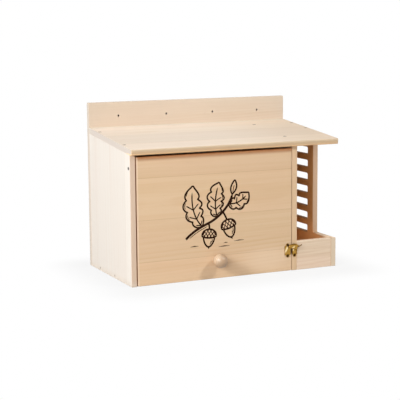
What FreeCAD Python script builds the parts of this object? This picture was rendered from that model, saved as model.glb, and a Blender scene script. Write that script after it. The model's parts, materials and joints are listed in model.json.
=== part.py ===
import FreeCAD, Part
import Sketcher
import math
import os

# Wall-mounted pet feeder: a closed chamber behind a lifting door on the left,
# an open porch with a feeding tray and a slotted ladder board on the right.
# The origin is the middle of the wall-screw row on the back face.
# +X is right, +Y goes into the wall, +Z is up, and the front faces -Y.

# Driving dimensions in millimetres
sizes = {
    # Case
    "caseWidth": 400,
    "caseHeight": 300,
    "caseDepth": 210,
    "boardThickness": 10,
    "boardEdgeBevel": 0.6,
    "eavesDrop": 75,
    "roofRise": 20,
    "roofOverhang": 6.5,
    "roofNoseRadius": 3,
    # Wall screws
    "screwRowDrop": 25,
    "screwSpacing": 95,
    "screwHoleDiameter": 4,
    "screwHoleCount": 4,
    # Porch and tray
    "porchWidth": 71,
    "porchOpeningDepth": 66,
    "trayWallHeight": 52.5,
    "shoulderRadius": 3,
    # Entry hole between porch and chamber
    "entryHoleDiameter": 75,
    "entryHoleHeight": 140,
    "entryHoleSetback": 110,
    # Ladder slots
    "slotCount": 7,
    "slotHeight": 14,
    "lowestSlot": 50,
    "topRail": 22.5,
    "stileWidth": 20,
    "slotCornerRadius": 3,
    # Door
    "doorSideGap": 1,
    "doorTopGap": 4.5,
    "doorFootGap": 0.5,
    "doorStopGap": 0.3,
    # Pivot pins
    "pivotDrop": 23,
    "pivotSetback": 6.5,
    "pinDiameter": 3,
    "pinHeadDiameter": 5,
    "pinHeadThickness": 1,
    "pinBite": 18,
    "pinClearance": 0.05,
    "pinEndGap": 1,
    # Knob
    "knobHeight": 34,
    "knobDiameter": 25,
    "knobReach": 16,
    "knobFootDiameter": 14,
    "knobWaistDiameter": 11,
    "knobWaistCurve": 6,
    "knobScrewLength": 27,
    "knobScrewDiameter": 3.5,
    "knobScrewHeadDiameter": 7,
    "knobScrewHeadDepth": 2.2,
    "knobScrewPoint": 4,
    # Latch plates
    "plateThickness": 1,
    "plateFootHeight": 24.6,
    "plateLobeRadius": 3,
    "plateShoulderDrop": 5,
    "plateWaistCurve": 4,
    "hookPlateWidth": 12,
    "hookPlateHeight": 26,
    "hookPlateMargin": 2,
    "keeperPlateWidth": 9.6,
    "keeperPlateHeight": 22.6,
    # Latch hook, rivet and stud
    "hookThickness": 1.4,
    "hookPlay": 0.15,
    "hookPivotOffset": 3.5,
    "hookPivotRise": 6.5,
    "bossDiameter": 4.6,
    "bossHeight": 0.6,
    "eyeRadius": 3,
    "rivetDiameter": 2.4,
    "rivetHeadDiameter": 4.2,
    "rivetHeadHeight": 1.2,
    "rivetClearance": 0.05,
    "keeperStudInset": 1,
    "studDrop": 4.1,
    "studDiameter": 3,
    "studLift": 0.3,
    "studDome": 0.6,
    "notchClearance": 0.3,
    "notchMouthAngle": 30,
    "neckLift": 29,
    "neckRise": 3.4,
    "neckCurve": 18,
    "billWidth": 3.4,
    "billLength": 3,
    "hornReach": 24,
    "hornRise": 2.3,
    "hornTipWidth": 1.3,
    "hornValleyCurve": 6,
    "hornBellyCurve": 11,
    "hornRootDrop": 1.6,
    # Board nails
    "nailLength": 25,
    "nailWidth": 1.3,
    "nailThickness": 1.2,
    "nailHeadWidth": 2.4,
    "nailHeadHeight": 0.8,
    "nailPoint": 2.5,
    # Plate nails
    "tackLength": 9,
    "tackDiameter": 1.3,
    "tackHeadDiameter": 3,
    "tackHeadHeight": 0.5,
    # Where the board nails stand
    "roofNailFront": 37,
    "roofNailBack": 43,
    "floorNailFront": 81,
    "floorNailBack": 45,
    "backNailRise": 35,
    "backNailDrop": 40,
    "backNailInset": 100,
    "trayNailRise": 18,
    "trayNailDrop": 13,
}

doc = FreeCAD.newDocument("PetFeeder")
sheet = doc.addObject("Spreadsheet::Sheet", "Sizes")
for row, (alias, size) in enumerate(sizes.items(), start=1):
    sheet.set("A%d" % row, alias)
    sheet.set("B%d" % row, str(size))
    sheet.setAlias("B%d" % row, alias)
doc.recompute()


def total(*terms):
    """One bracketed expression that adds up its terms."""
    return "(" + " + ".join(terms) + ")"


def cell(alias):
    """The sheet's value under this name, as an expression."""
    return "Sizes." + alias


def number(expression):
    """The present value of an expression."""
    value = sheet.evalExpression(expression)
    return float(getattr(value, "Value", value))


# Places that several pieces share
board = cell("boardThickness")
leftFace = "(-Sizes.caseWidth / 2)"
frontPlane = "(-Sizes.caseDepth)"
bottomPlane = "(Sizes.screwRowDrop - Sizes.caseHeight)"
eavesHeight = "(Sizes.caseHeight - Sizes.eavesDrop)"
sideDepth = "(Sizes.caseDepth - Sizes.boardThickness)"
roofSlope = "(Sizes.roofRise / %s)" % sideDepth
roofRiser = "(Sizes.boardThickness * sqrt(1 + %s ^ 2))" % roofSlope
wallTop = total(eavesHeight, cell("roofRise"))
chamberWidth = "(Sizes.caseWidth - Sizes.porchWidth - 3 * Sizes.boardThickness)"
chamberLeft = total(leftFace, board)
dividerLeft = total(chamberLeft, chamberWidth)
porchLeft = total(dividerLeft, board)
ladderLeft = total(porchLeft, cell("porchWidth"))
rightFace = total(ladderLeft, board)
floorFront = total(frontPlane, board, cell("doorStopGap"))
floorDepth = "(%s - Sizes.boardThickness - Sizes.doorStopGap)" % sideDepth

doorWidth = "(%s - 2 * Sizes.doorSideGap)" % chamberWidth
doorHeight = "(%s - Sizes.doorTopGap - Sizes.doorFootGap)" % eavesHeight
doorLeft = total(chamberLeft, cell("doorSideGap"))
doorRight = total(doorLeft, doorWidth)
doorMiddle = "(%s + %s / 2)" % (doorLeft, doorWidth)
doorBack = total(frontPlane, board)
pivotY = total(frontPlane, cell("pivotSetback"))
pivotZ = "(%s + %s - Sizes.pivotDrop)" % (bottomPlane, eavesHeight)
knobZ = total(bottomPlane, cell("knobHeight"))

plateFootZ = total(bottomPlane, cell("plateFootHeight"))
hookPlateZ = total(plateFootZ, "Sizes.hookPlateHeight / 2")
keeperPlateZ = total(plateFootZ, "Sizes.keeperPlateHeight / 2")
plateFront = "(%s - Sizes.plateThickness)" % frontPlane
hookPlateX = "(%s - Sizes.hookPlateMargin - Sizes.hookPlateWidth / 2)" % doorRight
hookX = total(hookPlateX, cell("hookPivotOffset"))
hookZ = total(hookPlateZ, cell("hookPivotRise"))
hookStandOff = total(cell("plateThickness"), cell("bossHeight"), cell("hookPlay"))
hookFront = total(hookStandOff, cell("hookThickness"))
keeperX = "(%s + Sizes.boardThickness / 2)" % dividerLeft
studX = "(%s - Sizes.keeperStudInset)" % keeperX
studZ = "(%s - Sizes.studDrop)" % hookZ

# Turns that point a fitting's axis, which is drawn along its own +Z
outward = (FreeCAD.Vector(1, 0, 0), 90)
inward = (FreeCAD.Vector(1, 0, 0), -90)
leftward = (FreeCAD.Vector(0, 1, 0), -90)
rightward = (FreeCAD.Vector(0, 1, 0), 90)
upright = (FreeCAD.Vector(1, 0, 0), 0)
squareToRoof = (FreeCAD.Vector(1, 0, 0), "atan(%s)" % roofSlope)


def place(piece, x, y, z, turn=upright):
    """Binds the piece's placement to the sheet."""
    axis, angle = turn
    degrees = number(angle) if isinstance(angle, str) else angle
    piece.Placement = FreeCAD.Placement(FreeCAD.Vector(), FreeCAD.Rotation(axis, degrees))
    for letter, expression in zip("xyz", (x, y, z)):
        piece.setExpression(".Placement.Base." + letter, expression)
    if isinstance(angle, str):
        piece.setExpression(".Placement.Rotation.Angle", angle)


def originFeature(body, role):
    """One of the body's own planes or axes, such as XZ_Plane or Z_Axis."""
    return next(item for item in body.Origin.OriginFeatures if item.Role == role)


def arcBetween(start, end, radius, side):
    """The short arc from start to end that bulges to the left (side 1) or right (side -1)."""
    chord = end - start
    normal = FreeCAD.Vector(-chord.y, chord.x, 0).normalize()
    height = math.sqrt(max(radius ** 2 - chord.Length ** 2 / 4, 0))
    centre = (start + end) / 2 - normal * side * height
    first, last = (end, start) if side > 0 else (start, end)
    angles = [math.atan2(point.y - centre.y, point.x - centre.x) for point in (first, last)]
    circle = Part.Circle(centre, FreeCAD.Vector(0, 0, 1), radius)
    return Part.ArcOfCircle(circle, angles[0], angles[1])


def outline(body, role, name, corners):
    """A closed, fully constrained sketch on one of the body's planes.

    A corner is (x, y) where a line leaves it, or (x, y, radius, side) where an arc does.
    """
    sketch = body.newObject("Sketcher::SketchObject", name)
    sketch.AttachmentSupport = [(originFeature(body, role), "")]
    sketch.MapMode = "FlatFace"
    points = [FreeCAD.Vector(number(corner[0]), number(corner[1]), 0) for corner in corners]
    starts = []
    ends = []
    for index, corner in enumerate(corners):
        start, end = points[index], points[(index + 1) % len(points)]
        if len(corner) == 2:
            sketch.addGeometry(Part.LineSegment(start, end), False)
            starts.append(1)
            ends.append(2)
        else:
            side = corner[3]
            sketch.addGeometry(arcBetween(start, end, number(corner[2]), side), False)
            starts.append(2 if side > 0 else 1)
            ends.append(1 if side > 0 else 2)
    for index in range(len(corners)):
        following = (index + 1) % len(corners)
        sketch.addConstraint(Sketcher.Constraint(
            "Coincident", index, ends[index], following, starts[following]))
    for index, corner in enumerate(corners):
        for kind, expression in (("DistanceX", corner[0]), ("DistanceY", corner[1])):
            constraint = sketch.addConstraint(Sketcher.Constraint(
                kind, -1, 1, index, starts[index], number(expression)))
            sketch.setExpression("Constraints[%d]" % constraint, expression)
        if len(corner) > 2:
            constraint = sketch.addConstraint(Sketcher.Constraint(
                "Radius", index, number(corner[2])))
            sketch.setExpression("Constraints[%d]" % constraint, corner[2])
    return sketch


def circle(body, role, name, x, y, diameter):
    """A sketch of one circle on one of the body's planes."""
    sketch = body.newObject("Sketcher::SketchObject", name)
    sketch.AttachmentSupport = [(originFeature(body, role), "")]
    sketch.MapMode = "FlatFace"
    centre = FreeCAD.Vector(number(x), number(y), 0)
    sketch.addGeometry(Part.Circle(centre, FreeCAD.Vector(0, 0, 1), number(diameter) / 2), False)
    for kind, expression in (("DistanceX", x), ("DistanceY", y)):
        constraint = sketch.addConstraint(Sketcher.Constraint(
            kind, -1, 1, 0, 3, number(expression)))
        sketch.setExpression("Constraints[%d]" % constraint, expression)
    constraint = sketch.addConstraint(Sketcher.Constraint("Diameter", 0, number(diameter)))
    sketch.setExpression("Constraints[%d]" % constraint, diameter)
    return sketch


def rectangle(width, height):
    """Corners of a rectangle that starts at the plane's origin."""
    return [("0", "0"), ("0", height), (width, height), (width, "0")]


def roundedRectangle(x, y, width, height, radius):
    """Corners of a rectangle with rounded corners, clockwise from its lower left."""
    right, top = total(x, width), total(y, height)
    return [
        (x, total(y, radius)),
        (x, "(%s - %s)" % (top, radius), radius, 1),
        (total(x, radius), top),
        ("(%s - %s)" % (right, radius), top, radius, 1),
        (right, "(%s - %s)" % (top, radius)),
        (right, total(y, radius), radius, 1),
        ("(%s - %s)" % (right, radius), y),
        (total(x, radius), y, radius, 1),
    ]


def pad(body, sketch, length, backward=False):
    """Raises the sketch into a solid."""
    feature = body.newObject("PartDesign::Pad", sketch.Name + "Pad")
    feature.Profile = sketch
    feature.Reversed = backward
    feature.setExpression("Length", length)
    sketch.Visibility = False
    doc.recompute()
    return feature


def cutThrough(body, sketch):
    """Cuts the sketch right through the body, both ways from its plane."""
    before = body.Shape.Volume
    feature = body.newObject("PartDesign::Pocket", sketch.Name + "Pocket")
    feature.Profile = sketch
    feature.Type = "ThroughAll"
    feature.Midplane = True
    doc.recompute()
    if not body.Shape.Volume < before:
        raise RuntimeError("%s cuts nothing" % feature.Name)
    return feature


def repeat(body, feature, role, count, pitch):
    """Repeats a cut along one of the body's axes."""
    pattern = body.newObject("PartDesign::LinearPattern", feature.Name + "Row")
    pattern.Originals = [feature]
    pattern.Direction = (originFeature(body, role), [""])
    pattern.setExpression("Occurrences", count)
    pattern.setExpression("Length", "(%s - 1) * %s" % (count, pitch))
    body.Tip = pattern
    doc.recompute()
    return pattern


def ease(body, feature):
    """Takes the sharpness off every edge of a board."""
    names = ["Edge%d" % (index + 1) for index in range(len(feature.Shape.Edges))]
    easing = body.newObject("PartDesign::Chamfer", feature.Name + "Eased")
    easing.Base = (feature, names)
    easing.setExpression("Size", "Sizes.boardEdgeBevel")
    doc.recompute()
    return easing


def roundOff(body, feature, radius, wanted):
    """Rounds the feature's wanted edges."""
    edges = feature.Shape.Edges
    names = ["Edge%d" % (index + 1) for index, edge in enumerate(edges) if wanted(edge)]
    rounding = body.newObject("PartDesign::Fillet", feature.Name + "Rounded")
    rounding.Base = (feature, names)
    rounding.setExpression("Radius", radius)
    doc.recompute()
    return rounding


def turned(name, corners):
    """A turned piece: corners are (radius, height along its own +Z), with arcs as in outline."""
    body = doc.addObject("PartDesign::Body", name)
    sketch = outline(body, "XZ_Plane", name + "Profile", corners)
    feature = body.newObject("PartDesign::Revolution", name + "Turning")
    feature.Profile = sketch
    feature.ReferenceAxis = (sketch, ["V_Axis"])
    feature.Angle = 360
    sketch.Visibility = False
    doc.recompute()
    return body


def copies(label, pattern, places):
    """One node of identical fasteners: the pattern piece at each (x, y, z, turn)."""
    links = []
    for index, spot in enumerate(places, start=1):
        link = doc.addObject("App::Link", "%s_%d" % (label, index))
        link.LinkedObject = pattern
        place(link, *spot)
        links.append(link)
    group = doc.addObject("Part::Compound", label)
    group.Links = links
    doc.recompute()
    return group


def drilled(label, blank, fittings):
    """The blank with a hole for each fitting, exactly as large as the fitting."""
    tool = doc.addObject("Part::Compound", label + "_fittings")
    tool.Links = fittings
    piece = doc.addObject("Part::Cut", label)
    piece.Base = blank
    piece.Tool = tool
    doc.recompute()
    return piece


def domeRadius(diameter, height):
    """The sphere's radius of a domed head of this diameter and height."""
    return "((%s ^ 2 / 4 + %s ^ 2) / (2 * %s))" % (diameter, height, height)


# Fasteners

# A brad is cut from flat wire: a T head, a narrow shank and a chisel point
boardNail = doc.addObject("PartDesign::Body", "boardNail")
nailOutline = outline(boardNail, "XZ_Plane", "nailOutline", [
    ("0", "-Sizes.nailLength"),
    ("-Sizes.nailWidth / 2", "Sizes.nailPoint - Sizes.nailLength"),
    ("-Sizes.nailWidth / 2", "-Sizes.nailHeadHeight"),
    ("-Sizes.nailHeadWidth / 2", "-Sizes.nailHeadHeight"),
    ("-Sizes.nailHeadWidth / 2", "0"),
    ("Sizes.nailHeadWidth / 2", "0"),
    ("Sizes.nailHeadWidth / 2", "-Sizes.nailHeadHeight"),
    ("Sizes.nailWidth / 2", "-Sizes.nailHeadHeight"),
    ("Sizes.nailWidth / 2", "Sizes.nailPoint - Sizes.nailLength"),
])
pad(boardNail, nailOutline, "Sizes.nailThickness").Midplane = True
plateTack = turned("plateTack", [
    ("0", "-Sizes.tackLength"),
    ("Sizes.tackDiameter / 2", "-Sizes.tackLength"),
    ("Sizes.tackDiameter / 2", "0"),
    ("Sizes.tackHeadDiameter / 2", "0",
     domeRadius(cell("tackHeadDiameter"), cell("tackHeadHeight")), -1),
    ("0", "Sizes.tackHeadHeight"),
])
pinLength = total(board, cell("doorSideGap"), cell("pinBite"))
pivotPin = [
    ("0", "-" + pinLength),
    ("Sizes.pinDiameter / 2", "-" + pinLength),
    ("Sizes.pinDiameter / 2", "-Sizes.pinHeadThickness"),
    ("Sizes.pinHeadDiameter / 2", "-Sizes.pinHeadThickness"),
    ("Sizes.pinHeadDiameter / 2", "0"),
    ("0", "0"),
]
pivotPinLeft = turned("pivot_pin_left", pivotPin)
place(pivotPinLeft, leftFace, pivotY, pivotZ, leftward)
pivotPinRight = turned("pivot_pin_right", pivotPin)
place(pivotPinRight, porchLeft, pivotY, pivotZ, rightward)

halfBoard = "Sizes.boardThickness / 2"
leftBoardX = total(leftFace, halfBoard)
dividerX = total(dividerLeft, halfBoard)
ladderX = total(ladderLeft, halfBoard)
floorZ = total(bottomPlane, halfBoard)
trayWallY = total(frontPlane, halfBoard)


def onRoof(x, setback):
    """A nail spot on the roof's top face, square to it."""
    y = total(frontPlane, setback)
    z = total(bottomPlane, eavesHeight, roofRiser, "%s * %s" % (roofSlope, setback))
    return (x, y, z, squareToRoof)


roofNailBack = "(%s - Sizes.roofNailBack)" % sideDepth
roofNails = copies("roof_nails", boardNail, [
    onRoof(leftBoardX, cell("roofNailFront")),
    onRoof(leftBoardX, roofNailBack),
    onRoof(dividerX, cell("roofNailFront")),
    onRoof(dividerX, roofNailBack),
    onRoof(ladderX, total(cell("porchOpeningDepth"), cell("roofNailFront"))),
    onRoof(ladderX, roofNailBack),
])
floorNailYs = [
    total(frontPlane, cell("floorNailFront")),
    "(-Sizes.boardThickness - Sizes.floorNailBack)",
]
trayNailZs = [
    total(bottomPlane, cell("trayNailRise")),
    "(%s + Sizes.trayWallHeight - Sizes.trayNailDrop)" % bottomPlane,
]
leftSideNails = copies("left_side_nails", boardNail, [
    (leftFace, y, floorZ, leftward) for y in floorNailYs
])
dividerNails = copies("divider_nails", boardNail, [
    (porchLeft, y, floorZ, rightward) for y in floorNailYs
] + [
    (dividerLeft, trayWallY, z, leftward) for z in trayNailZs
])
rightSideNails = copies("right_side_nails", boardNail, [
    (rightFace, y, floorZ, rightward) for y in floorNailYs
] + [
    (rightFace, trayWallY, z, rightward) for z in trayNailZs
])
roofBackZ = total(bottomPlane, wallTop, "%s / 2" % roofRiser)
backNailHigh = "(%s - Sizes.backNailDrop)" % wallTop
backNailMiddle = "(%s + Sizes.backNailRise) / 2" % backNailHigh
backNails = copies("back_panel_nails", boardNail, [
    (x, "0", total(bottomPlane, height), inward)
    for x in (leftBoardX, dividerX, ladderX)
    for height in (cell("backNailRise"), backNailMiddle, backNailHigh)
] + [
    (x, "0", z, inward)
    for z in (floorZ, roofBackZ)
    for x in (total(chamberLeft, cell("backNailInset")),
              "(%s - Sizes.backNailInset)" % dividerLeft)
])

# Case boards

backBlank = doc.addObject("PartDesign::Body", "backBlank")
backOutline = outline(backBlank, "XZ_Plane", "backOutline",
                      rectangle("Sizes.caseWidth", "Sizes.caseHeight"))
backPad = pad(backBlank, backOutline, board, backward=True)
ease(backBlank, backPad)
screwHole = cutThrough(backBlank, circle(
    backBlank, "XZ_Plane", "screwHole",
    "Sizes.caseWidth / 2 - Sizes.screwSpacing * (Sizes.screwHoleCount - 1) / 2",
    "Sizes.caseHeight - Sizes.screwRowDrop", "Sizes.screwHoleDiameter"))
repeat(backBlank, screwHole, "X_Axis", "Sizes.screwHoleCount", "Sizes.screwSpacing")
place(backBlank, leftFace, "(-Sizes.boardThickness)", bottomPlane)
backPanel = drilled("back_panel", backBlank, [backNails])

sideProfile = [
    ("0", "0"),
    ("0", eavesHeight),
    (sideDepth, wallTop),
    (sideDepth, "0"),
]
leftBlank = doc.addObject("PartDesign::Body", "leftBlank")
leftPad = pad(leftBlank, outline(leftBlank, "YZ_Plane", "leftOutline", sideProfile), board)
ease(leftBlank, leftPad)
place(leftBlank, leftFace, frontPlane, bottomPlane)
leftPanel = drilled("left_side_panel", leftBlank,
                    [backNails, roofNails, leftSideNails, pivotPinLeft])

dividerBlank = doc.addObject("PartDesign::Body", "dividerBlank")
dividerPad = pad(dividerBlank,
                 outline(dividerBlank, "YZ_Plane", "dividerOutline", sideProfile), board)
ease(dividerBlank, dividerPad)
cutThrough(dividerBlank, circle(
    dividerBlank, "YZ_Plane", "entryHole",
    "Sizes.entryHoleSetback", "Sizes.entryHoleHeight", "Sizes.entryHoleDiameter"))
place(dividerBlank, dividerLeft, frontPlane, bottomPlane)

# The ladder board is low beside the tray and full height behind the side opening
shoulderTop = "(%s + %s * Sizes.porchOpeningDepth)" % (eavesHeight, roofSlope)
ladderBlank = doc.addObject("PartDesign::Body", "ladderBlank")
ladderOutline = outline(ladderBlank, "YZ_Plane", "ladderOutline", [
    ("0", "0"),
    ("0", "Sizes.trayWallHeight"),
    ("Sizes.porchOpeningDepth - Sizes.shoulderRadius", "Sizes.trayWallHeight",
     "Sizes.shoulderRadius", -1),
    ("Sizes.porchOpeningDepth", "Sizes.trayWallHeight + Sizes.shoulderRadius"),
    ("Sizes.porchOpeningDepth", shoulderTop),
    (sideDepth, wallTop),
    (sideDepth, "0"),
])
ladderPad = pad(ladderBlank, ladderOutline, board)
ease(ladderBlank, ladderPad)
slotFront = "(Sizes.porchOpeningDepth + Sizes.stileWidth)"
slotLength = "(%s - 2 * Sizes.stileWidth - Sizes.porchOpeningDepth)" % sideDepth
highestSlot = "(%s + %s * %s - Sizes.topRail - Sizes.slotHeight)" % (
    eavesHeight, roofSlope, slotFront)
slotPitch = "((%s - Sizes.lowestSlot) / (Sizes.slotCount - 1))" % highestSlot
slot = cutThrough(ladderBlank, outline(
    ladderBlank, "YZ_Plane", "ladderSlot",
    roundedRectangle(slotFront, "Sizes.lowestSlot", slotLength,
                     "Sizes.slotHeight", "Sizes.slotCornerRadius")))
repeat(ladderBlank, slot, "Z_Axis", "Sizes.slotCount", slotPitch)
place(ladderBlank, ladderLeft, frontPlane, bottomPlane)
rightPanel = drilled("right_side_panel", ladderBlank, [backNails, roofNails, rightSideNails])

# The roof board lies on the sloped edges, square at the front and bevelled at the wall
roofBlank = doc.addObject("PartDesign::Body", "roofBlank")
noseY = "(-Sizes.roofOverhang)"
noseZ = "(%s - %s * Sizes.roofOverhang)" % (eavesHeight, roofSlope)
roofOutline = outline(roofBlank, "YZ_Plane", "roofOutline", [
    (noseY, noseZ),
    ("(%s - Sizes.boardThickness * sin(atan(%s)))" % (noseY, roofSlope),
     "(%s + Sizes.boardThickness * cos(atan(%s)))" % (noseZ, roofSlope)),
    (sideDepth, total(wallTop, roofRiser)),
    (sideDepth, wallTop),
])
roofPad = pad(roofBlank, roofOutline, "Sizes.caseWidth")
roundOff(roofBlank, roofPad, "Sizes.roofNoseRadius",
         lambda edge: edge.BoundBox.YMax < 0)
place(roofBlank, leftFace, frontPlane, bottomPlane)
roofPanel = drilled("roof_panel", roofBlank, [backNails, roofNails])


def flatBoard(name, role, width, height, x, y, z, backward=False):
    """A plain rectangular board with eased edges."""
    blank = doc.addObject("PartDesign::Body", name)
    sketch = outline(blank, role, name + "Outline", rectangle(width, height))
    ease(blank, pad(blank, sketch, board, backward))
    place(blank, x, y, z)
    return blank


chamberFloor = drilled("chamber_floor", flatBoard(
    "chamberFloorBlank", "XY_Plane", chamberWidth, floorDepth,
    chamberLeft, floorFront, bottomPlane), [backNails, leftSideNails, dividerNails])
porchFloor = drilled("porch_floor", flatBoard(
    "porchFloorBlank", "XY_Plane", "Sizes.porchWidth", "(%s - Sizes.boardThickness)" % sideDepth,
    porchLeft, doorBack, bottomPlane), [rightSideNails])
trayWall = drilled("tray_front_wall", flatBoard(
    "trayWallBlank", "XZ_Plane", "Sizes.porchWidth", "Sizes.trayWallHeight",
    porchLeft, frontPlane, bottomPlane, backward=True), [dividerNails, rightSideNails])

# Door

knobScrew = turned("knob_screw", [
    ("0", "-Sizes.knobScrewLength"),
    ("Sizes.knobScrewDiameter / 2", "Sizes.knobScrewPoint - Sizes.knobScrewLength"),
    ("Sizes.knobScrewDiameter / 2", "-Sizes.knobScrewHeadDepth"),
    ("Sizes.knobScrewHeadDiameter / 2", "0"),
    ("0", "0"),
])
place(knobScrew, doorMiddle, doorBack, knobZ, inward)

ballRadius = "(Sizes.knobDiameter / 2)"
waistHeight = "(Sizes.knobReach - sqrt(%s ^ 2 - (Sizes.knobWaistDiameter / 2) ^ 2))" % ballRadius
knobBlank = turned("knobBlank", [
    ("0", "0"),
    ("Sizes.knobFootDiameter / 2", "0", "Sizes.knobWaistCurve", 1),
    ("Sizes.knobWaistDiameter / 2", waistHeight, ballRadius, -1),
    (ballRadius, "Sizes.knobReach", ballRadius, -1),
    ("0", "Sizes.knobReach + " + ballRadius),
])
place(knobBlank, doorMiddle, frontPlane, knobZ, outward)
doorKnob = drilled("door_knob", knobBlank, [knobScrew])



def lobeOffset(height):
    """How far a latch plate's nails stand above and below its middle."""
    return "(%s / 2 - Sizes.plateLobeRadius)" % height


def platePair(x, z, height):
    """The two nail spots of a latch plate."""
    return [(x, plateFront, "(%s %s %s)" % (z, sign, lobeOffset(height)), outward)
            for sign in "+-"]


hookPlateTacks = copies("hook_plate_nails", plateTack, platePair(
    hookPlateX, hookPlateZ, cell("hookPlateHeight")))
keeperPlateTacks = copies("keeper_plate_nails", plateTack, platePair(
    keeperX, keeperPlateZ, cell("keeperPlateHeight")))


def pinBore(name, x, turn):
    """The running bore in the door's edge for one pivot pin."""
    bore = doc.addObject("Part::Cylinder", name)
    bore.setExpression("Radius", "Sizes.pinDiameter / 2 + Sizes.pinClearance")
    bore.setExpression("Height", "Sizes.pinBite + Sizes.pinEndGap")
    place(bore, x, pivotY, pivotZ, turn)
    return bore


doorBlank = flatBoard("doorBlank", "XZ_Plane", doorWidth, doorHeight, doorLeft, frontPlane,
                      total(bottomPlane, cell("doorFootGap")), backward=True)
doorPanel = drilled("door_panel", doorBlank, [
    pinBore("pinBoreLeft", doorLeft, rightward),
    pinBore("pinBoreRight", doorRight, leftward),
    knobScrew,
    hookPlateTacks,
])
dividerPanel = drilled("divider_panel", dividerBlank,
                       [backNails, roofNails, dividerNails, pivotPinRight, keeperPlateTacks])

# Latch


def plateCorners(width, height):
    """A latch plate about its centre: a lobe round each nail and shoulders between them."""
    side = "(%s / 2)" % width
    lobe = "Sizes.plateLobeRadius"
    curve = "Sizes.plateWaistCurve"
    top = "(%s / 2)" % height
    offset = lobeOffset(height)
    shoulder = "(%s - Sizes.plateShoulderDrop)" % top
    return [
        ("-" + lobe, offset, lobe, 1),
        ("0", top, lobe, 1),
        (lobe, offset, curve, -1),
        (side, shoulder),
        (side, "-" + shoulder, curve, -1),
        (lobe, "-" + offset, lobe, 1),
        ("0", "-" + top, lobe, 1),
        ("-" + lobe, "-" + offset, curve, -1),
        ("-" + side, "-" + shoulder),
        ("-" + side, shoulder, curve, -1),
    ]


def latchPlate(name, width, height, x, z):
    """A flat brass plate on the front plane."""
    blank = doc.addObject("PartDesign::Body", name)
    sketch = outline(blank, "XZ_Plane", name + "Outline", plateCorners(width, height))
    pad(blank, sketch, "Sizes.plateThickness")
    place(blank, x, frontPlane, z)
    return blank


rivetNeck = total(hookFront, cell("hookPlay"))
latchRivet = turned("latch_rivet", [
    ("0", "0"),
    ("Sizes.rivetDiameter / 2", "0"),
    ("Sizes.rivetDiameter / 2", rivetNeck),
    ("Sizes.rivetHeadDiameter / 2", rivetNeck,
     domeRadius(cell("rivetHeadDiameter"), cell("rivetHeadHeight")), -1),
    ("0", total(rivetNeck, cell("rivetHeadHeight"))),
])
place(latchRivet, hookX, frontPlane, hookZ, outward)

studNeck = total(hookFront, cell("studLift"))
keeperStud = turned("keeper_stud", [
    ("0", "0"),
    ("Sizes.studDiameter / 2", "0"),
    ("Sizes.studDiameter / 2", studNeck,
     domeRadius(cell("studDiameter"), cell("studDome")), -1),
    ("0", total(studNeck, cell("studDome"))),
])
place(keeperStud, studX, frontPlane, studZ, outward)

hookPlateBlank = latchPlate("hookPlateBlank", cell("hookPlateWidth"), cell("hookPlateHeight"),
                            hookPlateX, hookPlateZ)
boss = circle(hookPlateBlank, "XZ_Plane", "hookBoss",
              "Sizes.hookPivotOffset", "Sizes.hookPivotRise", "Sizes.bossDiameter")
pad(hookPlateBlank, boss, "Sizes.plateThickness + Sizes.bossHeight")
hookPlate = drilled("latch_hook_plate", hookPlateBlank, [hookPlateTacks, latchRivet])
keeperPlate = drilled("latch_keeper_plate", latchPlate(
    "keeperPlateBlank", cell("keeperPlateWidth"), cell("keeperPlateHeight"),
    keeperX, keeperPlateZ), [keeperPlateTacks, keeperStud])

# The hook turns on the rivet, drops over the stud from above and ends in a finger horn
eye = "Sizes.eyeRadius"
reach = "(%s - %s)" % (studX, hookX)
drop = "Sizes.studDrop"
notch = "(Sizes.studDiameter / 2 + Sizes.notchClearance)"
billInside = total(reach, notch)
billOutside = total(billInside, cell("billWidth"))
billHalf = "(Sizes.billWidth / 2)"
billEnd = "(-%s - Sizes.billLength)" % drop
tipHalf = "(Sizes.hornTipWidth / 2)"
latchHook = doc.addObject("PartDesign::Body", "latch_hook")
hookOutline = outline(latchHook, "XZ_Plane", "hookOutline", [
    ("(-%s * sin(Sizes.neckLift))" % eye, "(%s * cos(Sizes.neckLift))" % eye,
     "Sizes.neckCurve", 1),
    (billOutside, "Sizes.neckRise", "Sizes.hornValleyCurve", -1),
    ("Sizes.hornReach", total(cell("hornRise"), tipHalf), "Sizes.hornTipWidth", 1),
    ("Sizes.hornReach", "(Sizes.hornRise - %s)" % tipHalf, "Sizes.hornBellyCurve", 1),
    (billOutside, "-Sizes.hornRootDrop"),
    (billOutside, total(billEnd, billHalf), billHalf, 1),
    (total(billInside, billHalf), billEnd, billHalf, 1),
    (billInside, total(billEnd, billHalf)),
    (billInside, "-" + drop, notch, -1),
    (reach, "(%s - %s)" % (notch, drop), notch, -1),
    ("(%s - %s * cos(Sizes.notchMouthAngle))" % (reach, notch),
     "(%s * sin(Sizes.notchMouthAngle) - %s)" % (notch, drop)),
    ("0", "-" + eye, eye, 1),
    ("-" + eye, "0", eye, 1),
])
pad(latchHook, hookOutline, "Sizes.hookThickness")
cutThrough(latchHook, circle(latchHook, "XZ_Plane", "hookBore", "0", "0",
                             "Sizes.rivetDiameter + 2 * Sizes.rivetClearance"))
place(latchHook, hookX, "(%s - %s)" % (frontPlane, hookStandOff), hookZ)
doc.recompute()

nodes = [
    backPanel, leftPanel, dividerPanel, rightPanel, roofPanel,
    chamberFloor, porchFloor, trayWall,
    doorPanel, doorKnob, knobScrew, pivotPinLeft, pivotPinRight,
    hookPlate, latchHook, latchRivet, keeperPlate, keeperStud,
    hookPlateTacks, keeperPlateTacks,
    roofNails, leftSideNails, dividerNails, rightSideNails, backNails,
]

failed = [item.Name for item in doc.Objects if {"Invalid", "Error"} & set(item.State)]
if failed:
    raise RuntimeError("failed: " + ", ".join(failed))
for node in nodes:
    if node.Shape.isNull() or not node.Shape.isValid():
        raise RuntimeError("%s has no valid shape" % node.Label)

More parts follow.
